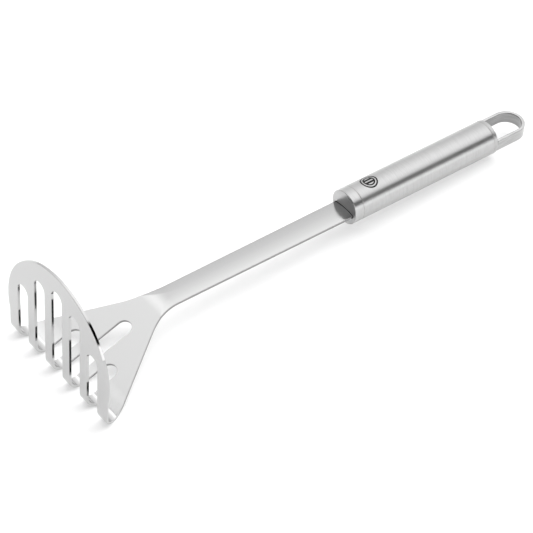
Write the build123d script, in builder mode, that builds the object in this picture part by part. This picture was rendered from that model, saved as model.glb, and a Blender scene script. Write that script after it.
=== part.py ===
from build123d import *
from math import acos, asin, atan2, cos, degrees, hypot, radians, sin, tan
import os

# Potato masher: a one-piece stamped blade held in a round tubular handle with a hanging loop.
#
# The tool lies on a flat surface (Z = 0) on the heel of its blade and on the rim of its end cap, so its
# long axis slopes down a little towards the loop. Every sketch is drawn in the tool's own directions:
# "along" runs from the mashing plate to the loop, "upward" is square to it, and Y runs across.
# Positions along the tool are measured from the front face of the handle.

# Handle
handle_r = 10.0
tube_wall = 1.0
front_cap_length = 5.9
tube_end = 100.6
end_cap_length = 2.5
front_plug_length = 6.0
end_plug_length = 8.0
rim_round = 0.35
seam_chamfer = 0.22
weld_depth = 0.12

# Hanging loop
loop_centre = 119.1
loop_r = 9.6
loop_thickness = 1.9
loop_height = 7.0
loop_round = 0.45
tenon_length = 1.6
tenon_thickness = 1.2
tenon_height = 5.0

# Blade: plate, heel bend, neck, easy bend, stem and tang in one sheet
sheet = 1.5
plate_front = -186.0
plate_r = 43.7
plate_centre_up = 5.6
heel_r = 7.0
neck_angle = 20.0
easy_bend_at = -123.3
easy_bend_r = 30.0
stem_top = 0.0
stem_width_at_neck = 14.0
stem_width_at_handle = 15.0
crown_r = 30.0
crown_starts = -118.0
crown_full = -102.0
tang_end = 16.0
tang_play = 0.35
weld_bead = 2.0
weld_bead_width = 11.0

# Blade outline
plate_width_at_heel = 84.8
width_at_lowest_line = 80.0
neck_taper_angle = 32.0
neck_width_at_heel = 80.2
shoulder_r = 43.0
corner_r = 60.0
heel_corner_r = 16.0

# Slots
slot_pitch = 15.1
slot_width = 9.0
slot_top_outer = 20.3
slot_top_inner = 34.6
slot_top_middle = 39.2
neck_slot_inner = 17.0
neck_slot_middle = 38.2

# Derived sizes of the blade
slot_r = slot_width / 2
heel_mid_r = heel_r - sheet / 2
plate_mid = plate_front + sheet / 2
stem_mid = stem_top - sheet / 2
heel_corner = stem_mid - (easy_bend_at - plate_mid) * tan(radians(neck_angle))
heel_setback = heel_mid_r / tan(radians((90 - neck_angle) / 2))
heel_axis = (plate_front + heel_r, heel_corner + heel_setback)
plate_top = plate_centre_up + plate_r
cap_end = tube_end + end_cap_length
loop_end = loop_centre + loop_r

# The tool rests on the round of the heel and on the rim of the end cap
rest_span = cap_end - heel_axis[0]
rest_rise = -handle_r - heel_axis[1]
lean = degrees(atan2(rest_rise, rest_span) + asin(heel_r / hypot(rest_span, rest_rise)))


def lay(x, up):
    """Turn a point of the tool's side view by the lean."""
    turn = radians(lean)
    return (x * cos(turn) + up * sin(turn), up * cos(turn) - x * sin(turn))


# The frame's origin is under the middle of the tool, on the surface that it rests on
low_x = lay(*heel_axis)[0] - heel_r
high_x = lay(loop_end - loop_round, loop_height / 2 - loop_round)[0] + loop_round
floor = lay(*heel_axis)[1] - heel_r
origin = Vector(-(low_x + high_x) / 2, 0, -floor)
along = Vector(cos(radians(lean)), 0, -sin(radians(lean)))
upward = Vector(sin(radians(lean)), 0, cos(radians(lean)))

side = Plane(origin, x_dir=along, z_dir=(0, -1, 0))
top = Plane(origin, x_dir=along, z_dir=upward)
cross = Plane(origin, x_dir=(0, 1, 0), z_dir=along)
handle_axis = Axis(origin, along)
neck_start = (
    plate_mid + heel_setback * cos(radians(neck_angle)),
    heel_corner + heel_setback * sin(radians(neck_angle)),
)
neck_direction = along * cos(radians(neck_angle)) + upward * sin(radians(neck_angle))
neck_normal = upward * cos(radians(neck_angle)) - along * sin(radians(neck_angle))
neck = Plane(side.from_local_coords((*neck_start, 0)), x_dir=neck_direction, z_dir=neck_normal)


def crowned_strip(plane, width, play=0.0):
    """Section of the stem, which is crowned across its width, with play all round."""
    with BuildSketch(plane) as section:
        with Locations((0, stem_top - crown_r)):
            Circle(crown_r + play)
            Circle(crown_r - sheet - play, mode=Mode.SUBTRACT)
        Rectangle(width + 2 * play, crown_r, mode=Mode.INTERSECT)
    return section.sketch


# ---- Envelope of the blade: the plate's outline from the front, the neck and stem from above ----

taper = tan(radians(neck_taper_angle))
neck_cos = cos(radians(neck_angle))
taper_end = (neck_width_at_heel - stem_width_at_neck) / 2 / taper
side_turn = acos(plate_width_at_heel / 2 / plate_r)
side_top = plate_centre_up - plate_r * sin(side_turn)
lowest_line = heel_axis[1] - heel_r
taper_start = 6.0
spare = 1.0
wide_stem = 20.0

with BuildPart() as envelope:
    with BuildSketch(cross.offset(plate_front - spare)):
        with BuildLine():
            Polyline(
                (0, plate_top),
                (0, lowest_line - spare),
                (width_at_lowest_line / 2, lowest_line - spare),
                (width_at_lowest_line / 2, lowest_line),
            )
            RadiusArc(
                (width_at_lowest_line / 2, lowest_line),
                (plate_width_at_heel / 2, heel_axis[1]),
                -heel_corner_r,
            )
            Line((plate_width_at_heel / 2, heel_axis[1]), (plate_width_at_heel / 2, side_top))
            CenterArc((0, plate_centre_up), plate_r, -degrees(side_turn), 90 + degrees(side_turn))
        make_face()
        mirror(about=Plane.YZ)
    extrude(amount=heel_r + spare)
    with BuildSketch(top.offset(stem_top + spare)):
        with BuildLine():
            half = FilletPolyline(
                (neck_start[0] + taper_start * neck_cos, neck_width_at_heel / 2 - taper_start * taper),
                (neck_start[0] + taper_end * neck_cos, stem_width_at_neck / 2),
                (0, stem_width_at_handle / 2),
                radius=shoulder_r,
            )
            RadiusArc((heel_axis[0], width_at_lowest_line / 2), half @ 0, corner_r)
            Polyline(
                half @ 1,
                (tang_end, stem_width_at_handle / 2),
                (tang_end, 0),
                (heel_axis[0], 0),
                (heel_axis[0], width_at_lowest_line / 2),
            )
        make_face()
        mirror(about=Plane.XZ)
    extrude(amount=lowest_line - stem_top - 2 * spare)


# ---- Blade ----

with BuildPart() as masher_blade:
    with BuildSketch(side):
        with BuildLine():
            FilletPolyline(
                (plate_mid, plate_top),
                (plate_mid, heel_corner),
                (easy_bend_at, stem_mid),
                (crown_starts, stem_mid),
                radius=[heel_mid_r, easy_bend_r],
            )
        trace(line_width=sheet)
    extrude(amount=plate_r, both=True)

    # The stem: flat where it leaves the neck, then crowned across its width
    with BuildSketch(cross.offset(crown_starts)):
        with Locations((0, stem_mid)):
            Rectangle(wide_stem, sheet)
    add(crowned_strip(cross.offset(crown_full), wide_stem))
    loft()
    add(crowned_strip(cross.offset(crown_full), wide_stem))
    extrude(amount=tang_end - crown_full, dir=along)
    add(envelope.part, mode=Mode.INTERSECT)

    # Slots in the plate, round at the top
    with BuildSketch(cross.offset(plate_front - spare)):
        for place, slot_top in (
            (-2, slot_top_outer),
            (-1, slot_top_inner),
            (0, slot_top_middle),
            (1, slot_top_inner),
            (2, slot_top_outer),
        ):
            with Locations((place * slot_pitch, slot_top - slot_r)):
                Circle(slot_r)
                Rectangle(
                    slot_width,
                    slot_top - slot_r - lowest_line + spare,
                    align=(Align.CENTER, Align.MAX),
                )
    extrude(amount=spare + heel_r - slot_r, mode=Mode.SUBTRACT)

    # The two outer slots end round at the lowest line of the heel
    with BuildSketch(top.offset(heel_axis[1])):
        for place in (-2, 2):
            with Locations((heel_axis[0] - slot_r, place * slot_pitch)):
                Circle(slot_r)
                Rectangle(heel_r, slot_width, align=(Align.MAX, Align.CENTER))
    extrude(amount=-heel_r - spare, mode=Mode.SUBTRACT)

    # The three middle slots run on around the heel and up the neck
    with BuildSketch(neck):
        for place, slot_end in ((-1, neck_slot_inner), (0, neck_slot_middle), (1, neck_slot_inner)):
            with Locations((slot_end - slot_r, place * slot_pitch)):
                Circle(slot_r)
                Rectangle(slot_end + heel_r, slot_width, align=(Align.MAX, Align.CENTER))
    extrude(amount=2 * heel_r, both=True, mode=Mode.SUBTRACT)


# ---- Handle: turned front cap, tube, turned end cap ----

bore_r = handle_r - tube_wall
plug_end = front_cap_length + front_plug_length

with BuildPart() as front_cap:
    with BuildSketch(side):
        with BuildLine():
            Polyline(
                (0, 0),
                (0, handle_r - rim_round),
                (rim_round, handle_r),
                (front_cap_length - seam_chamfer, handle_r),
                (front_cap_length, handle_r - seam_chamfer),
                (front_cap_length, bore_r),
                (plug_end, bore_r),
                (plug_end, 0),
                close=True,
            )
        make_face()
    revolve(axis=handle_axis)
    add(crowned_strip(cross, stem_width_at_handle, tang_play))
    extrude(amount=plug_end, dir=along, mode=Mode.SUBTRACT)

with BuildPart() as handle_tube:
    with BuildSketch(side):
        with BuildLine():
            Polyline(
                (front_cap_length, bore_r),
                (front_cap_length, handle_r - seam_chamfer),
                (front_cap_length + seam_chamfer, handle_r),
                (tube_end - seam_chamfer, handle_r),
                (tube_end, handle_r - seam_chamfer),
                (tube_end, bore_r),
                close=True,
            )
        make_face()
    revolve(axis=handle_axis)

with BuildPart() as end_cap:
    with BuildSketch(side):
        with BuildLine():
            Polyline(
                (tube_end - end_plug_length, 0),
                (tube_end - end_plug_length, bore_r),
                (tube_end, bore_r),
                (tube_end, handle_r - seam_chamfer),
                (tube_end + seam_chamfer, handle_r),
                (cap_end - rim_round, handle_r),
                (cap_end, handle_r - rim_round),
                (cap_end, 0),
                close=True,
            )
        make_face()
    revolve(axis=handle_axis)
    with BuildSketch(cross.offset(cap_end)):
        with Locations((loop_r - loop_thickness / 2, 0), (loop_thickness / 2 - loop_r, 0)):
            Rectangle(tenon_thickness, tenon_height)
    extrude(amount=-tenon_length, mode=Mode.SUBTRACT)


# ---- Weld metal in the two ring seams ----

def seam_ring(at):
    """Section of the weld at the bottom of a seam's V-shaped groove."""
    with BuildSketch(side) as section:
        with BuildLine():
            Polyline(
                (at, handle_r - seam_chamfer),
                (at - weld_depth, handle_r - seam_chamfer + weld_depth),
                (at + weld_depth, handle_r - seam_chamfer + weld_depth),
                close=True,
            )
        make_face()
    return section.sketch


with BuildPart() as front_seam_weld:
    add(seam_ring(front_cap_length))
    revolve(axis=handle_axis)

with BuildPart() as end_seam_weld:
    add(seam_ring(tube_end))
    revolve(axis=handle_axis)


# ---- Fillet welds between the tang and the inner end of the front cap ----

with BuildPart() as tang_weld:
    with BuildSketch(side):
        for rise in (sheet / 2 + weld_bead, -sheet / 2 - weld_bead):
            with BuildLine():
                Polyline(
                    (plug_end, stem_mid),
                    (plug_end + weld_bead, stem_mid),
                    (plug_end + weld_bead, stem_mid + rise / 2),
                    (plug_end, stem_mid + rise),
                    close=True,
                )
            make_face()
    extrude(amount=weld_bead_width / 2, both=True)
    add(masher_blade.part, mode=Mode.SUBTRACT)


# ---- Hanging loop: a bent strip, its two ends let into the end cap ----

with BuildPart() as hanging_loop:
    with BuildSketch(top):
        with BuildLine():
            leg_middle = loop_r - loop_thickness / 2
            Line((cap_end, leg_middle), (loop_centre, leg_middle))
            CenterArc((loop_centre, 0), leg_middle, -90, 180)
            Line((loop_centre, -leg_middle), (cap_end, -leg_middle))
        trace(line_width=loop_thickness)
    extrude(amount=loop_height / 2, both=True)
    long_edges = hanging_loop.faces().filter_by(Axis(origin, upward)).edges()
    fillet(long_edges.filter_by(lambda edge: edge.length > loop_height), radius=loop_round)
    with BuildSketch(cross.offset(cap_end - tenon_length)):
        with Locations((leg_middle, 0), (-leg_middle, 0)):
            Rectangle(tenon_thickness, tenon_height)
    extrude(amount=tenon_length)


# ---- Write one file for each piece ----

pieces = {
    "masher_blade": masher_blade,
    "front_cap": front_cap,
    "handle_tube": handle_tube,
    "end_cap": end_cap,
    "hanging_loop": hanging_loop,
    "tang_weld": tang_weld,
    "front_seam_weld": front_seam_weld,
    "end_seam_weld": end_seam_weld,
}

os.makedirs("parts", exist_ok=True)
for name, piece in pieces.items():
    piece.part.label = name
    export_step(piece.part, f"parts/{name}.step")
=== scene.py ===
from math import acos, atan2, cos, degrees, pi, radians, sin, tan

import bmesh
import bpy
from mathutils import Matrix, Vector


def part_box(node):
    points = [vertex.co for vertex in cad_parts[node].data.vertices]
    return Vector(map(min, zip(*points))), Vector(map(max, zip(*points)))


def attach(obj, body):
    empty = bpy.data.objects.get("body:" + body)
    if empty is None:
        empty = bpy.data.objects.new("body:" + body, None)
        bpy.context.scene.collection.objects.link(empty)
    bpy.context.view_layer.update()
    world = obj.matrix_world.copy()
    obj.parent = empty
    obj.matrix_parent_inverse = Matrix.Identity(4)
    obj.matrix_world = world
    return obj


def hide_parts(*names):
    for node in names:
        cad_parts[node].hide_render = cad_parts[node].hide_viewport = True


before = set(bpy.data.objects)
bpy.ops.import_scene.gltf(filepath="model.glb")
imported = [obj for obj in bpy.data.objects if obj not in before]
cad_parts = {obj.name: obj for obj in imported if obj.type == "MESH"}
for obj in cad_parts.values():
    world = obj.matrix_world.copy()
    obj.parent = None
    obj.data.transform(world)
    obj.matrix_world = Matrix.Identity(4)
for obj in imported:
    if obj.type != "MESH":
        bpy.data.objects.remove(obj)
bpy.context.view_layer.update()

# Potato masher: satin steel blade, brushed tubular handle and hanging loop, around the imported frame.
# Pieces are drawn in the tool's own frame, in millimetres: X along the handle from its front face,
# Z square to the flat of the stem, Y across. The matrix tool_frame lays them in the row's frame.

mm = 0.001

# ---- Sizes, in millimetres ----

# The handle: a tube between two caps with plugs, measured along it from the front face.
handle_r = 10.0
bore_r = 9.0
front_seam = 5.9
end_seam = 100.6
cap_end = 103.1
front_plug_end = 11.9
end_plug_start = 92.6
rim_round = 0.45
seam_round = 0.38

# The slot in the front cap for the crowned stem, as deep as it can be seen; the CAD's goes right through.
slot_play = 0.35
slot_depth = 4.0

# The hanging loop: a strip bent to a U, its ends thinned to tenons of (length, thickness, height).
loop_centre = 119.1
loop_r = 9.6
loop_thickness = 1.9
loop_height = 7.0
loop_round = 0.45
tenon = (1.6, 1.2, 5.0)

# The blade's side view: upright plate, heel bend, sloping neck, easy bend, stem and tang.
sheet = 1.5
edge_round = 0.14
plate_front = -186.0
heel_r = 7.0
neck_angle = radians(20.0)
easy_bend_at = -123.3
easy_bend_r = 30.0
tang_end = 16.0

# The blade's outline, laid flat.
plate_r = 43.7
plate_centre_up = 5.6
plate_half_at_heel = 42.4
half_at_lowest_line = 40.0
neck_half_at_heel = 40.1
neck_taper = tan(radians(32.0))
taper_start = 6.0
heel_corner_r = 35.0
neck_corner_r = 60.0
shoulder_r = 43.0
stem_half_at_neck = 7.0
stem_half_at_handle = 7.5

# The stem's crown, and the crease in which it grows in from the stem's edges.
crown_r = 30.0
crease_start_after = 0.7
crease_length = 26.0
crease_half_at_start = 8.5
crease_power = 3.0
flare_cut_before = 5.0

# The slots, counted from the middle one: tops on the plate, and ends on the neck for three of them.
slot_pitch = 15.1
slot_r = 4.5
plate_slot_tops = {-2: 20.3, -1: 34.6, 0: 39.2, 1: 34.6, 2: 20.3}
neck_slot_ends = {-1: 17.0, 0: 38.2, 1: 17.0}

# The generic mark etched on the handle: a dark disc with a light ring and light bars in it.
mark_centre = (16.85, 0.7)
mark_r = 5.0
mark_ring = (3.5, 4.1)
mark_bar_pitch = 2.2
mark_bar_half = 0.42
mark_bar_reach = 2.6
mark_blur = 0.06


# ---- The tool's frame, from the two ring seams of the handle ----

def box_middle(node):
    low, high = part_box(node)
    return (low + high) / 2


ring_a = box_middle("front_seam_weld")
ring_b = box_middle("end_seam_weld")
along = (ring_b - ring_a).normalized()
across = Vector((0, 1, 0))
upward = along.cross(across)
start = ring_a - along * front_seam * mm
tool_frame = Matrix.Translation(start) @ Matrix((along, across, upward)).transposed().to_4x4()


# ---- Outlines ----

def spread(first, last, steps):
    """Evenly spread values from the first to the last."""
    return [first + (last - first) * i / steps for i in range(steps + 1)]


def arc(centre, radius, first, last, steps):
    """Points on an arc, from the first angle to the last, in degrees."""
    angles = [radians(angle) for angle in spread(first, last, steps)]
    return [(centre[0] + radius * cos(a), centre[1] + radius * sin(a)) for a in angles]


def arc_through(start, end, radius, steps):
    """Points on an arc between two points, bulging to the left of the way there."""
    a, b = Vector(start), Vector(end)
    half = (b - a) / 2
    inward = Vector((half.y, -half.x)).normalized()
    centre = a + half + inward * (radius ** 2 - half.length_squared) ** 0.5
    first = degrees(atan2(a.y - centre.y, a.x - centre.x))
    turn = degrees((b - centre).angle_signed(a - centre))
    return arc(centre, radius, first, first + turn, steps)


def filleted(before, corner, after, radius, steps):
    """Points on the arc that rounds a corner."""
    c = Vector(corner)
    u = (Vector(before) - c).normalized()
    v = (Vector(after) - c).normalized()
    half_angle = u.angle(v) / 2
    centre = c + (u + v).normalized() * radius / sin(half_angle)
    p = c + u * radius / tan(half_angle)
    q = c + v * radius / tan(half_angle)
    first = degrees(atan2(p.y - centre.y, p.x - centre.x))
    turn = degrees((q - centre).angle_signed(p - centre))
    return arc(centre, radius, first, first + turn, steps)


# ---- The blade's sheet: a mid-line from the plate's top to the tang, followed by the length s ----
# s is 0 where the plate ends and the heel bend begins, and negative up the plate.

heel_mid_r = heel_r - sheet / 2
plate_mid = plate_front + sheet / 2
stem_mid = -sheet / 2
heel_corner = stem_mid - (easy_bend_at - plate_mid) * tan(neck_angle)
heel_setback = heel_mid_r / tan((pi / 2 - neck_angle) / 2)
heel_axis = Vector((plate_front + heel_r, heel_corner + heel_setback))
easy_setback = easy_bend_r * tan(neck_angle / 2)
neck_start = heel_mid_r * (pi / 2 + neck_angle)
neck_length = (easy_bend_at - plate_mid) / cos(neck_angle) - heel_setback - easy_setback
easy_start = neck_start + neck_length
easy_end = easy_start + easy_bend_r * neck_angle
stem_start_x = easy_bend_at + easy_setback
handle_face = easy_end - stem_start_x
sheet_end = handle_face + tang_end


def walk(place, heading, length, turn):
    """Step along the mid-line: a straight for turn 0, else an arc turning anticlockwise."""
    if turn == 0:
        return place + Vector((cos(heading), sin(heading))) * length, heading
    radius = length / turn
    centre = place + Vector((-sin(heading), cos(heading))) * radius
    heading += turn
    return centre + Vector((sin(heading), -cos(heading))) * radius, heading


def mid_line(s):
    """Place and heading of the sheet's mid-line at s, in the tool's side view."""
    place, heading = Vector((plate_mid, heel_axis.y)), -pi / 2
    if s <= 0:
        return walk(place, heading, s, 0)
    for end, first, turn_rate in (
        (neck_start, 0, 1 / heel_mid_r),
        (easy_start, neck_start, 0),
        (easy_end, easy_start, -1 / easy_bend_r),
        (sheet_end, easy_end, 0),
    ):
        step = min(s, end) - first
        place, heading = walk(place, heading, step, step * turn_rate)
        if s <= end:
            return place, heading
    return walk(place, heading, s - sheet_end, 0)


def crease_at(s):
    """Half the width that is still flat across at s, and its slope: the crown grows in from the edges."""
    left = max(1 - (s - easy_start - crease_start_after) / crease_length, 0)
    half = crease_half_at_start * left ** crease_power
    return half, -crease_half_at_start * crease_power * left ** (crease_power - 1) / crease_length


def bend(point, normal):
    """Take a point and its normal from the flat sheet (s, across, towards the upper side) to the tool."""
    s, y, w = point
    flat, flat_slope = crease_at(s)
    drop = slope_s = slope_y = 0
    if abs(y) > flat:
        drop = (y * y - flat * flat) / (2 * crown_r)
        slope_s = flat * flat_slope / crown_r
        slope_y = -y / crown_r
    place, heading = mid_line(s)
    tangent = Vector((cos(heading), 0, sin(heading)))
    inner = Vector((-sin(heading), 0, cos(heading)))
    n = Vector((normal.x - slope_s * normal.z, normal.y - slope_y * normal.z, normal.z))
    bent = Vector((place.x, y, place.y)) + inner * (w - drop)
    return bent, (tangent * n.x + Vector((0, n.y, 0)) + inner * n.z).normalized()


def up_to_s(up):
    """The s of a height on the plate."""
    return heel_axis.y - up


def half_outline():
    """Half of the flat sheet's outline, from the middle of the plate's top to the middle of the tang."""
    shoulder = (neck_start + (neck_half_at_heel - stem_half_at_neck) / neck_taper, stem_half_at_neck)
    stem_end = (handle_face, stem_half_at_handle)
    side_turn = degrees(acos(plate_half_at_heel / plate_r))
    heel_side = (0, plate_half_at_heel)
    lowest = (heel_mid_r * pi / 2, half_at_lowest_line)
    taper = (neck_start + taper_start, neck_half_at_heel - taper_start * neck_taper)
    points = arc((up_to_s(plate_centre_up), 0), plate_r, 180, 90 - side_turn, 84)
    points += arc_through(heel_side, lowest, heel_corner_r, 8)
    points += arc_through(lowest, taper, neck_corner_r, 8)[1:]
    points += filleted(taper, shoulder, stem_end, shoulder_r, 16)
    points += [stem_end, (sheet_end, stem_half_at_handle)]
    return points


def slot_outline(place):
    """One slot: round at the plate's end, and round on the neck or at the heel's lowest line."""
    y = place * slot_pitch
    top = up_to_s(plate_slot_tops[place] - slot_r)
    points = arc((top, y), slot_r, 90, 270, 24)
    if place in neck_slot_ends:
        return points + arc((neck_start + neck_slot_ends[place] - slot_r, y), slot_r, -90, 90, 24)
    for turn in spread(-pi / 2, pi / 2, 24):
        s = heel_mid_r * acos(slot_r * (1 - cos(turn)) / heel_mid_r)
        points.append((s, y + slot_r * sin(turn)))
    return points


# ---- Materials ----

class Nodes:
    """A short way to build a node tree."""

    def __init__(self, tree):
        self.tree = tree

    def add(self, kind, **settings):
        node = self.tree.nodes.new(kind)
        for key, value in settings.items():
            setattr(node, key, value)
        return node

    def join(self, source, target):
        self.tree.links.new(source, target)

    def math(self, operation, *values, clamp=False):
        """A Math node; each value is a number or another node's output."""
        node = self.add("ShaderNodeMath", operation=operation, use_clamp=clamp)
        for socket, value in zip(node.inputs, values):
            if isinstance(value, (int, float)):
                socket.default_value = value
            else:
                self.join(value, socket)
        return node.outputs[0]

    def ramp(self, value, stops):
        """A smooth greyscale ramp of (place, brightness)."""
        node = self.add("ShaderNodeValToRGB")
        node.color_ramp.interpolation = "EASE"
        marks = node.color_ramp.elements
        while len(marks) < len(stops):
            marks.new(0.5)
        for mark, (place, grey) in zip(marks, stops):
            mark.position = place
            mark.color = (grey, grey, grey, 1)
        self.join(value, node.inputs[0])
        return node.outputs["Color"]

    def attribute(self, name, output):
        """What a mesh attribute gives, as a number (Fac) or a vector (Vector)."""
        return self.add("ShaderNodeAttribute", attribute_name=name).outputs[output]

    def between(self, value, low, high, out_low, out_high):
        """A value mapped from one range to another, and held to it."""
        node = self.add("ShaderNodeMapRange")
        node.inputs["From Min"].default_value = low
        node.inputs["From Max"].default_value = high
        node.inputs["To Min"].default_value = out_low
        node.inputs["To Max"].default_value = out_high
        self.join(value, node.inputs["Value"])
        return node.outputs["Result"]

    def streaks(self, vector, stretch):
        """Noise drawn out by stretch, as brushing leaves."""
        mapping = self.add("ShaderNodeMapping")
        mapping.inputs["Scale"].default_value = stretch
        self.join(vector, mapping.inputs["Vector"])
        noise = self.add("ShaderNodeTexNoise")
        noise.inputs["Scale"].default_value = 1.0
        noise.inputs["Detail"].default_value = 4.0
        self.join(mapping.outputs["Vector"], noise.inputs["Vector"])
        return noise.outputs["Fac"]


# The streaks are noise that lies in streak_range. The metal has its full tone where they pass full_tone_at,
# and their relief is relief_depth millimetres deep.
handle_tone = (0.515, 0.515, 0.515)
streak_range = (0.3, 0.7)
full_tone_at = 0.62
relief_depth = 0.02


def steel(name, tone, anisotropy=0.0):
    """A metal material, its nodes and its shader."""
    material = bpy.data.materials.new(name)
    material.use_nodes = True
    nodes = Nodes(material.node_tree)
    shader = material.node_tree.nodes["Principled BSDF"]
    shader.inputs["Metallic"].default_value = 1.0
    shader.inputs["Base Color"].default_value = (*tone, 1)
    shader.inputs["Anisotropic"].default_value = anisotropy
    return material, nodes, shader


def streaky(nodes, shader, streaks, tone, darkest):
    """Let the streaks darken the metal a little, down to darkest times its tone."""
    colour = nodes.add("ShaderNodeMix", data_type="RGBA")
    colour.inputs["A"].default_value = (*(darkest * c for c in tone), 1)
    colour.inputs["B"].default_value = (*tone, 1)
    nodes.join(nodes.between(streaks, streak_range[0], full_tone_at, 0, 1), colour.inputs["Factor"])
    nodes.join(colour.outputs["Result"], shader.inputs["Base Color"])
    return colour.outputs["Result"]


def scaled(nodes, shader, colour, gain):
    """Brighten or darken the metal's colour, a tuple or another node's output, by a gain."""
    scale = nodes.add("ShaderNodeVectorMath", operation="SCALE")
    if isinstance(colour, tuple):
        scale.inputs[0].default_value = colour
    else:
        nodes.join(colour, scale.inputs[0])
    nodes.join(gain, scale.inputs["Scale"])
    nodes.join(scale.outputs[0], shader.inputs["Base Color"])


def brushed(nodes, shader, vector, stretch, roughness, swing, bump):
    """Brushed finish: streaks in the roughness and a faint relief of the same streaks."""
    streaks = nodes.streaks(vector, stretch)
    rough = nodes.between(streaks, *streak_range, roughness - swing, roughness + swing)
    nodes.join(rough, shader.inputs["Roughness"])
    relief = nodes.add("ShaderNodeBump")
    relief.inputs["Strength"].default_value = bump
    relief.inputs["Distance"].default_value = relief_depth * mm
    nodes.join(streaks, relief.inputs["Height"])
    nodes.join(relief.outputs["Normal"], shader.inputs["Normal"])
    return streaks, rough


# The blade's finish and painted light, matched to the photo: the share of the roughness left on cut edges,
# how much darker the cut edges are painted on the neck, a painted shade for the shaded floor they reflect
# there, and a brighter patch, a painted reflection that peaks a little past the heel bend's end. The patch
# makes up for the plate's reflection there, which comes out too dark with steel of this tone.
edge_polish = 0.35
edge_painted_shade = 0.46
painted_reflection_gain = 0.3
corner_start = 7.0
corner_peak = 1.0
corner_reach = 11.0


def blade_steel():
    """Satin sheet, brushed along its length, with polished cut edges.

    The cut edges beyond the heel are darkened with painted shade, and the corner inside the heel is
    brightened with a painted reflection."""
    tone = (0.52, 0.52, 0.52)
    material, nodes, shader = steel("blade_steel", tone)
    flat = nodes.add("ShaderNodeUVMap", uv_map="flat_sheet").outputs["UV"]
    rough = brushed(nodes, shader, flat, (6, 260, 1), 0.17, 0.03, 0.15)[1]
    edge = nodes.attribute("cut_edge", "Fac")
    polished = nodes.math("MULTIPLY", rough, nodes.between(edge, 0, 1, 1, edge_polish))
    nodes.join(polished, shader.inputs["Roughness"])
    split = nodes.add("ShaderNodeSeparateXYZ")
    nodes.join(flat, split.inputs[0])
    past_heel = nodes.math("SUBTRACT", split.outputs["X"], neck_start * mm)
    on_neck = nodes.between(past_heel, 0, taper_start * mm, 0, 1)
    # painted shade: darkens the cut edges on the neck and stem
    edge_shade_mask = nodes.math("MULTIPLY", nodes.between(edge, 0.5, 1, 0, 1), on_neck)
    rise = nodes.between(past_heel, -corner_start * mm, corner_peak * mm, 0, 1)
    fall = nodes.between(past_heel, corner_peak * mm, corner_reach * mm, 1, 0)
    corner = nodes.math("MULTIPLY", rise, fall)
    # painted reflection: brightens the inner side around the heel bend's end
    painted_reflection = nodes.math("MULTIPLY", nodes.attribute("inside", "Fac"), corner)
    gain = nodes.math("MULTIPLY_ADD", painted_reflection, painted_reflection_gain, 1.0)
    gain = nodes.math("MULTIPLY_ADD", edge_shade_mask, -edge_painted_shade, gain)
    scaled(nodes, shader, tone, gain)
    return material


def turned_steel(name, roughness):
    """Steel brushed round the handle's axis: the material, its nodes and shader, and its colour."""
    material, nodes, shader = steel(name, handle_tone, anisotropy=0.35)
    place = nodes.attribute("tool_place", "Vector")
    streaks = brushed(nodes, shader, place, (2200, 150, 150), roughness, 0.03, 0.25)[0]
    tangent = nodes.add("ShaderNodeTangent", direction_type="UV_MAP", uv_map="turned")
    nodes.join(tangent.outputs["Tangent"], shader.inputs["Tangent"])
    colour = streaky(nodes, shader, streaks, handle_tone, 0.9)
    return material, nodes, shader, colour


def etched_mark(nodes):
    """1 inside the dark parts of a small etched roundel of three bars on the handle's upper side."""
    split = nodes.add("ShaderNodeSeparateXYZ")
    nodes.join(nodes.attribute("tool_place", "Vector"), split.inputs[0])
    x = nodes.math("SUBTRACT", split.outputs["X"], mark_centre[0] * mm)
    y = nodes.math("SUBTRACT", split.outputs["Y"], mark_centre[1] * mm)
    far = nodes.math("SQRT", nodes.math("ADD", nodes.math("MULTIPLY", x, x), nodes.math("MULTIPLY", y, y)))

    def within(distance, limit, blur=mark_blur):
        return nodes.between(distance, (limit - blur) * mm, (limit + blur) * mm, 1, 0)

    ring_in, ring_out = mark_ring
    ring = nodes.math("SUBTRACT", within(far, ring_out), within(far, ring_in))
    half_pitch = mark_bar_pitch / 2 * mm
    from_bar = nodes.math("ABSOLUTE", nodes.math("WRAP", y, half_pitch, -half_pitch))
    bars = nodes.math("MULTIPLY", within(from_bar, mark_bar_half), within(far, mark_bar_reach, 0.1))
    light = nodes.math("ADD", ring, bars, clamp=True)
    dark = nodes.math("MULTIPLY", within(far, mark_r), nodes.math("SUBTRACT", 1, light))
    upper = nodes.between(split.outputs["Z"], 0, mm, 0, 1)
    return nodes.math("MULTIPLY", dark, upper)


def cap_steel(name, roughness):
    """Turned and brushed cap."""
    return turned_steel(name, roughness)[0]


def tube_steel():
    """Brushed tube with the etched mark."""
    material, nodes, shader, plain = turned_steel("tube_steel", 0.33)
    colour = nodes.add("ShaderNodeMix", data_type="RGBA")
    nodes.join(plain, colour.inputs["A"])
    colour.inputs["B"].default_value = (0.03, 0.03, 0.03, 1)
    nodes.join(etched_mark(nodes), colour.inputs["Factor"])
    nodes.join(colour.outputs["Result"], shader.inputs["Base Color"])
    return material


def loop_steel():
    """Strip brushed along its length, with painted highlights on its edges and painted shade on its inner
    face.
    """
    tone = (0.51, 0.51, 0.51)
    material, nodes, shader = steel("loop_steel", tone)
    strip = nodes.add("ShaderNodeUVMap", uv_map="flat_strip").outputs["UV"]
    streaks = brushed(nodes, shader, strip, (90, 1600, 1), 0.2, 0.06, 0.6)[0]
    colour = streaky(nodes, shader, streaks, tone, 0.72)
    # painted highlights on the strip's edges and painted shade on its inner face
    scaled(nodes, shader, colour, nodes.attribute("painted_light", "Fac"))
    return material


def weld_metal():
    """Uneven weld metal, a little tarnished by the heat."""
    material, nodes, shader = steel("weld_metal", (0.36, 0.35, 0.34))
    place = nodes.add("ShaderNodeTexCoord").outputs["Object"]
    brushed(nodes, shader, place, (900, 900, 900), 0.4, 0.1, 0.8)
    return material


# ---- Mesh building ----

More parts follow.
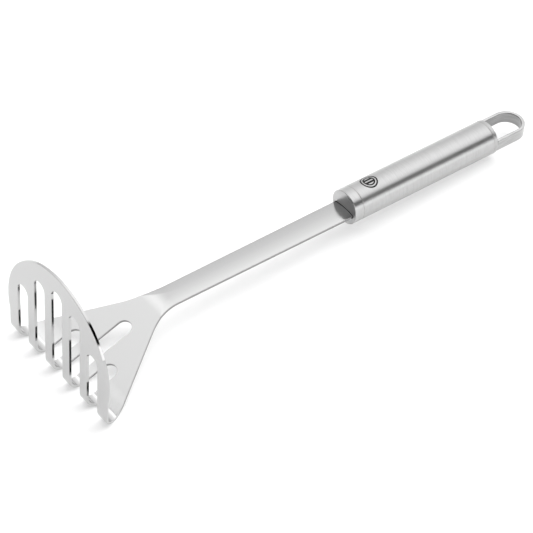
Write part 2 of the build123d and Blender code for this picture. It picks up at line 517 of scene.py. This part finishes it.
def place_piece(name, mesh, material, slot, *nodes):
    """Lay a mesh drawn in the tool's frame, in millimetres, into the row's frame.

    Its points keep their place in the tool's frame, in metres, as the attribute tool_place."""
    mesh.transform(Matrix.Scale(mm, 4))
    places = mesh.attributes.new("tool_place", "FLOAT_VECTOR", "POINT")
    for vert, item in zip(mesh.vertices, places.data):
        item.vector = vert.co
    mesh.transform(tool_frame)
    piece = bpy.data.objects.new(name, mesh)
    bpy.context.scene.collection.objects.link(piece)
    mesh.materials.clear()
    mesh.materials.append(material)
    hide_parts(*nodes)
    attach(piece, "root")
    return piece


def flat_sheet_mesh():
    """The flat sheet with rounded edges, made by filling its outlines."""
    half = half_outline()
    outline = half + [(s, -y) for s, y in reversed(half[1:])]
    curve = bpy.data.curves.new("flat_sheet", "CURVE")
    curve.dimensions = "2D"
    curve.fill_mode = "BOTH"
    curve.extrude = sheet / 2 - edge_round
    curve.bevel_depth = edge_round
    curve.bevel_resolution = 3
    curve.offset = -edge_round
    for points in [outline] + [slot_outline(place) for place in plate_slot_tops]:
        spline = curve.splines.new("POLY")
        spline.points.add(len(points) - 1)
        for point, (s, y) in zip(spline.points, points):
            point.co = (s, y, 0, 1)
        spline.use_cyclic_u = True
    maker = bpy.data.objects.new("flat_sheet", curve)
    mesh = bpy.data.meshes.new_from_object(maker)
    bpy.data.objects.remove(maker)
    bpy.data.curves.remove(curve)
    return mesh


def cut_lines(bm, places, direction, low=None):
    """Cut the flat sheet across at each place, where it lies beyond low along s."""
    for place in places:
        faces = [f for f in bm.faces if low is None or f.calc_center_median().x > low]
        edges = {e for f in faces for e in f.edges}
        verts = {v for f in faces for v in f.verts}
        geom = [*verts, *edges, *faces]
        point = Vector(direction) * place
        bmesh.ops.bisect_plane(bm, geom=geom, dist=1e-5, plane_co=point, plane_no=direction)


side_facing = 0.999
wall_facing = 0.02


def flat_normal(vert):
    """Normal of the rounded flat sheet at a vertex: true on its two sides and on its cut edges."""
    sides = [f.normal for f in vert.link_faces if abs(f.normal.z) > side_facing]
    if sides:
        return Vector((0, 0, 1 if sides[0].z > 0 else -1))
    walls = [f.normal for f in vert.link_faces if abs(f.normal.z) < wall_facing]
    total = sum(walls or [f.normal * f.calc_area() for f in vert.link_faces], Vector())
    return total.normalized()


def masher_blade():
    """Cut the flat sheet into strips where it bends or is crowned, then bend it."""
    flare_cut = easy_start - flare_cut_before
    crease_end = easy_start + crease_start_after + crease_length
    crowned_half = stem_half_at_handle + 3.5
    bm = bmesh.new()
    bm.from_mesh(flat_sheet_mesh())
    bmesh.ops.remove_doubles(bm, verts=bm.verts, dist=1e-4)
    cut_lines(bm, spread(0, neck_start, 44), (1, 0, 0))
    cut_lines(bm, spread(flare_cut, easy_end, 24), (1, 0, 0))
    cut_lines(bm, spread(easy_end, crease_end, 16)[1:], (1, 0, 0))
    cut_lines(bm, spread(-crowned_half, crowned_half, 44), (0, 1, 0), low=flare_cut)
    bmesh.ops.recalc_face_normals(bm, faces=bm.faces)
    bm.normal_update()
    flat_map = bm.loops.layers.uv.new("flat_sheet")
    cut_edge = bm.verts.layers.float.new("cut_edge")
    inside = bm.verts.layers.float.new("inside")
    for face in bm.faces:
        face.smooth = True
        for loop in face.loops:
            loop[flat_map].uv = (loop.vert.co.x * mm, loop.vert.co.y * mm)
    flat_normals = [flat_normal(vert) for vert in bm.verts]
    turn = tool_frame.to_3x3()
    normals = []
    for vert, flat in zip(bm.verts, flat_normals):
        vert[cut_edge] = 1 - abs(flat.z)
        vert[inside] = max(flat.z, 0)
        vert.co, bent = bend(vert.co.copy(), flat)
        normals.append(turn @ bent)
    mesh = bpy.data.meshes.new("masher_blade")
    bm.to_mesh(mesh)
    bm.free()
    place_piece("blade", mesh, blade_steel(), "blade_steel", "masher_blade")
    mesh.normals_split_custom_set_from_vertices(normals)


def rounded_profile(corners, steps=6):
    """A closed profile of (x, radius, rounding) corners, each rounded by an arc."""
    points = []
    for i, (x, r, rounding) in enumerate(corners):
        if rounding == 0:
            points.append((x, r))
            continue
        before = corners[i - 1][:2]
        after = corners[(i + 1) % len(corners)][:2]
        points += filleted(before, (x, r), after, rounding, steps)
    return points


def turned(name, corners):
    """Turn a profile round the handle's axis; it starts and ends on the axis, or it is a ring."""
    segments = 128
    bm = bmesh.new()
    turned_map = bm.loops.layers.uv.new("turned")
    rows = []
    for x, r in rounded_profile(corners):
        if r < 1e-6:
            rows.append([bm.verts.new((x, 0, 0))])
            continue
        turns = [2 * pi * i / segments for i in range(segments)]
        rows.append([bm.verts.new((x, r * sin(t), r * cos(t))) for t in turns])
    for number, (row, after) in enumerate(zip(rows, rows[1:] + rows[:1])):
        for i in range(segments):
            quad = {
                row[i % len(row)]: (number, i),
                row[(i + 1) % segments % len(row)]: (number, i + 1),
                after[(i + 1) % segments % len(after)]: (number + 1, i + 1),
                after[i % len(after)]: (number + 1, i),
            }
            if len(quad) > 2:
                face = bm.faces.new(list(quad))
                for loop in face.loops:
                    loop[turned_map].uv = quad[loop.vert]
    bmesh.ops.recalc_face_normals(bm, faces=bm.faces)
    mesh = bpy.data.meshes.new(name)
    bm.to_mesh(mesh)
    bm.free()
    return mesh


hard_corner = radians(32)


def smooth_by_area(piece):
    """Smooth shading that keeps large faces true, with hard corners kept hard."""
    mesh = piece.data
    mesh.shade_smooth()
    bm = bmesh.new()
    bm.from_mesh(mesh)
    for edge in bm.edges:
        edge.smooth = edge.calc_face_angle(0) < hard_corner
    bm.to_mesh(mesh)
    bm.free()
    weighted = piece.modifiers.new("even_normals", "WEIGHTED_NORMAL")
    weighted.keep_sharp = True
    weighted.weight = 100


def slot_cutter():
    """A curved bar, the stem's section with play all round, from before the cap's face to the slot's end."""
    half = stem_half_at_handle + slot_play
    across_slot = spread(-half, half, 24)
    upper = crown_r + slot_play
    lower = crown_r - sheet - slot_play
    bm = bmesh.new()
    rows = []
    for x in (-1, slot_depth):
        top = [bm.verts.new((x, y, (upper ** 2 - y * y) ** 0.5 - crown_r)) for y in across_slot]
        under = [bm.verts.new((x, y, (lower ** 2 - y * y) ** 0.5 - crown_r)) for y in reversed(across_slot)]
        rows.append(top + under)
        bm.faces.new(rows[-1])
    near, far = rows
    for i, vert in enumerate(near):
        after = (i + 1) % len(near)
        bm.faces.new((vert, near[after], far[after], far[i]))
    bmesh.ops.recalc_face_normals(bm, faces=bm.faces)
    mesh = bpy.data.meshes.new("slot_cutter")
    bm.to_mesh(mesh)
    bm.free()
    return mesh


def slotted(mesh):
    """Cut the front cap for the stem."""
    whole = bpy.data.objects.new("whole_cap", mesh)
    cutter = bpy.data.objects.new("slot_cutter", slot_cutter())
    for item in (whole, cutter):
        bpy.context.scene.collection.objects.link(item)
    cut = whole.modifiers.new("slot", "BOOLEAN")
    cut.object = cutter
    cut.solver = "EXACT"
    bpy.context.view_layer.update()
    result = bpy.data.meshes.new_from_object(whole.evaluated_get(bpy.context.evaluated_depsgraph_get()))
    for item in (whole, cutter):
        bpy.data.objects.remove(item)
    return result


def front_cap():
    """Front cap with its plug and the slot for the stem."""
    mesh = turned("front_cap", [
        (0, 0, 0),
        (0, handle_r, rim_round),
        (front_seam, handle_r, seam_round),
        (front_seam, bore_r, 0),
        (front_plug_end, bore_r, 0),
        (front_plug_end, 0, 0),
    ])
    finish = cap_steel("cap_steel", 0.3)
    smooth_by_area(place_piece("handle_front_cap", slotted(mesh), finish, "cap_steel", "front_cap"))


def handle_tube():
    """The hollow tube between the seams."""
    mesh = turned("handle_tube", [
        (front_seam, bore_r, 0),
        (front_seam, handle_r, seam_round),
        (end_seam, handle_r, seam_round),
        (end_seam, bore_r, 0),
    ])
    smooth_by_area(place_piece("handle_tube_shell", mesh, tube_steel(), "tube_steel", "handle_tube"))


def end_cap():
    """End cap with its plug, without the CAD's pockets, which can't be seen: the tenons run into it."""
    mesh = turned("end_cap", [
        (end_plug_start, 0, 0),
        (end_plug_start, bore_r, 0),
        (end_seam, bore_r, 0),
        (end_seam, handle_r, seam_round),
        (cap_end, handle_r, rim_round),
        (cap_end, 0, 0),
    ])
    finish = cap_steel("end_cap_steel", 0.42)
    smooth_by_area(place_piece("handle_end_cap", mesh, finish, "cap_steel", "end_cap"))


# The loop's painted light, matched to the photo: how much brighter its edges are painted, a painted
# highlight, and how much darker inside, a painted shade.
edge_painted_highlight = 0.25
inner_painted_shade = 0.3


def strip_painted_light(a, b, half_t, half_h):
    """How bright the strip's colour is painted round its section: 1 outside, more on the edges for a painted
    highlight, less inside for painted shade.
    """
    edge = max(abs(b) - half_h + loop_round, 0) / loop_round
    inner = max(-a - half_t + loop_round, 0) / loop_round
    return 1 + edge_painted_highlight * edge * edge - inner_painted_shade * inner * inner


def loop_way():
    """The strip's way round the loop: (place, turn, (half thickness, half height)) from tenon to tenon."""
    length, thin, low = tenon
    mid_r = loop_r - loop_thickness / 2
    full = (loop_thickness / 2, loop_height / 2)
    small = (thin / 2, low / 2)
    bend_turns = spread(0, pi, 72)
    return [
        (Vector((cap_end - length, mid_r)), 0, small),
        (Vector((cap_end, mid_r)), 0, small),
        (Vector((cap_end, mid_r)), 0, full),
        *((Vector((loop_centre + mid_r * sin(t), mid_r * cos(t))), t, full) for t in bend_turns),
        (Vector((cap_end, -mid_r)), pi, full),
        (Vector((cap_end, -mid_r)), pi, small),
        (Vector((cap_end - length, -mid_r)), pi, small),
    ]


def hanging_loop():
    """A strip with rounded edges swept round the loop, its two ends thinned to tenons in the end cap."""
    bm = bmesh.new()
    strip_map = bm.loops.layers.uv.new("flat_strip")
    painted_light = bm.verts.layers.float.new("painted_light")
    rows = []
    travelled = 0
    way = loop_way()
    for i, (place, turn, (half_t, half_h)) in enumerate(way):
        travelled += (place - way[max(i - 1, 0)][0]).length
        corners = [(half_t, -half_h), (half_t, half_h), (-half_t, half_h), (-half_t, -half_h)]
        section = rounded_profile([(a, b, loop_round) for a, b in corners], steps=5)
        outward = Vector((sin(turn), cos(turn)))
        ring = []
        for a, b in section:
            p = place + outward * a
            vert = bm.verts.new((p.x, p.y, b))
            vert[painted_light] = strip_painted_light(a, b, half_t, half_h)
            ring.append((vert, travelled, a + b))
        rows.append(ring)
    count = len(rows[0])
    for row, after in zip(rows, rows[1:]):
        for i in range(count):
            j = (i + 1) % count
            corner = (row[i], row[j], after[j], after[i])
            face = bm.faces.new([c[0] for c in corner])
            for loop, c in zip(face.loops, corner):
                loop[strip_map].uv = (c[1] * mm, c[2] * mm)
    for row in (rows[0], rows[-1]):
        bm.faces.new([c[0] for c in row])
    bmesh.ops.recalc_face_normals(bm, faces=bm.faces)
    mesh = bpy.data.meshes.new("hanging_loop")
    bm.to_mesh(mesh)
    bm.free()
    smooth_by_area(place_piece("hanging_strip", mesh, loop_steel(), "loop_steel", "hanging_loop"))


def welds():
    """The weld pieces keep their own shape and get a finish."""
    finish = weld_metal()
    for name in ("tang_weld", "front_seam_weld", "end_seam_weld"):
        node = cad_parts[name]
        node.data.materials.clear()
        node.data.materials.append(finish)


# ---- Floor, light and camera ----

def floor():
    """A plain pale floor."""
    bm = bmesh.new()
    bmesh.ops.create_circle(bm, cap_ends=True, segments=96, radius=6.0)
    mesh = bpy.data.meshes.new("floor")
    bm.to_mesh(mesh)
    bm.free()
    material = bpy.data.materials.new("floor_paper")
    material.use_nodes = True
    shader = material.node_tree.nodes["Principled BSDF"]
    shader.inputs["Base Color"].default_value = (0.93, 0.93, 0.93, 1)
    shader.inputs["Roughness"].default_value = 0.9
    shader.inputs["Specular IOR Level"].default_value = 0.1
    mesh.materials.append(material)
    disc = bpy.data.objects.new("floor", mesh)
    bpy.context.scene.collection.objects.link(disc)


def studio():
    """A white studio with a dark band on the camera's side, matched to the tones on the photo's steel.

    The light changes with turn, which is 0 at the near horizon and 1 at the far one, over the top. The
    band is skewed along x, and the whole studio is dimmer towards the plate's end."""
    world = bpy.data.worlds.new("studio")
    bpy.context.scene.world = world
    world.use_nodes = True
    nodes = Nodes(world.node_tree)
    back = world.node_tree.nodes["Background"]
    back.inputs["Color"].default_value = (1, 1, 1, 1)
    split = nodes.add("ShaderNodeSeparateXYZ")
    nodes.join(nodes.add("ShaderNodeTexCoord").outputs["Generated"], split.inputs[0])
    x, y, z = split.outputs
    turn = nodes.math("DIVIDE", nodes.math("ARCTAN2", z, nodes.math("MULTIPLY", y, -1)), pi)
    skew = nodes.between(x, -0.6, 0.6, 0.315, -0.035)
    band = nodes.math("SUBTRACT", turn, skew)
    light = nodes.ramp(band, [
        (0.0, 1.0),
        (0.082, 1.0),
        (0.115, 0.0),
        (0.265, 0.0),
        (0.31, 0.8),
        (0.4, 0.88),
        (0.52, 0.87),
        (0.6, 0.82),
        (0.68, 0.7),
        (0.78, 0.6),
        (0.9, 0.53),
        (1.0, 0.48),
    ])
    side = nodes.ramp(nodes.between(x, -0.65, 0.65, 0, 1), [
        (0.0, 0.03),
        (0.13, 0.23),
        (0.4, 0.56),
        (0.5, 0.68),
        (0.61, 0.77),
        (0.72, 0.72),
        (0.82, 0.667),
    ])
    strength = nodes.math("MULTIPLY", nodes.math("MULTIPLY", light, side), 2.82)
    nodes.join(strength, back.inputs["Strength"])


def overhead():
    """A wide soft light above, for the floor: it casts no shadow and shows in no reflection."""
    data = bpy.data.lights.new("overhead", "AREA")
    data.shape = "DISK"
    data.size = 2.4
    data.energy = 17.0
    data.use_shadow = False
    lamp = bpy.data.objects.new("overhead", data)
    lamp.location = (0, 0.2, 1.5)
    lamp.visible_glossy = False
    lamp.visible_camera = False
    bpy.context.scene.collection.objects.link(lamp)


sensor = 36.0
lens = 155.347
view_azimuth = radians(-39.28)
view_elevation = radians(44.81)
view_roll = radians(1.72)
view_distance = 1.2221
aim_point = Vector((-0.02333, 0.00052, 0))


def camera():
    """A long lens from the front left, above the tool."""
    data = bpy.data.cameras.new("camera")
    data.sensor_width = sensor
    data.lens = lens
    cam = bpy.data.objects.new("camera", data)
    bpy.context.scene.collection.objects.link(cam)
    back = Vector((
        sin(view_azimuth) * cos(view_elevation),
        -cos(view_azimuth) * cos(view_elevation),
        sin(view_elevation),
    ))
    turned_level = (-back).to_track_quat("-Z", "Y").to_matrix()
    cam.matrix_world = (
        Matrix.Translation(aim_point + back * view_distance)
        @ (turned_level @ Matrix.Rotation(view_roll, 3, "Z")).to_4x4()
    )
    bpy.context.scene.camera = cam


masher_blade()
front_cap()
handle_tube()
end_cap()
hanging_loop()
welds()
floor()
studio()
overhead()
camera()
bpy.context.scene.view_settings.view_transform = "Standard"

bpy.context.view_layer.update()
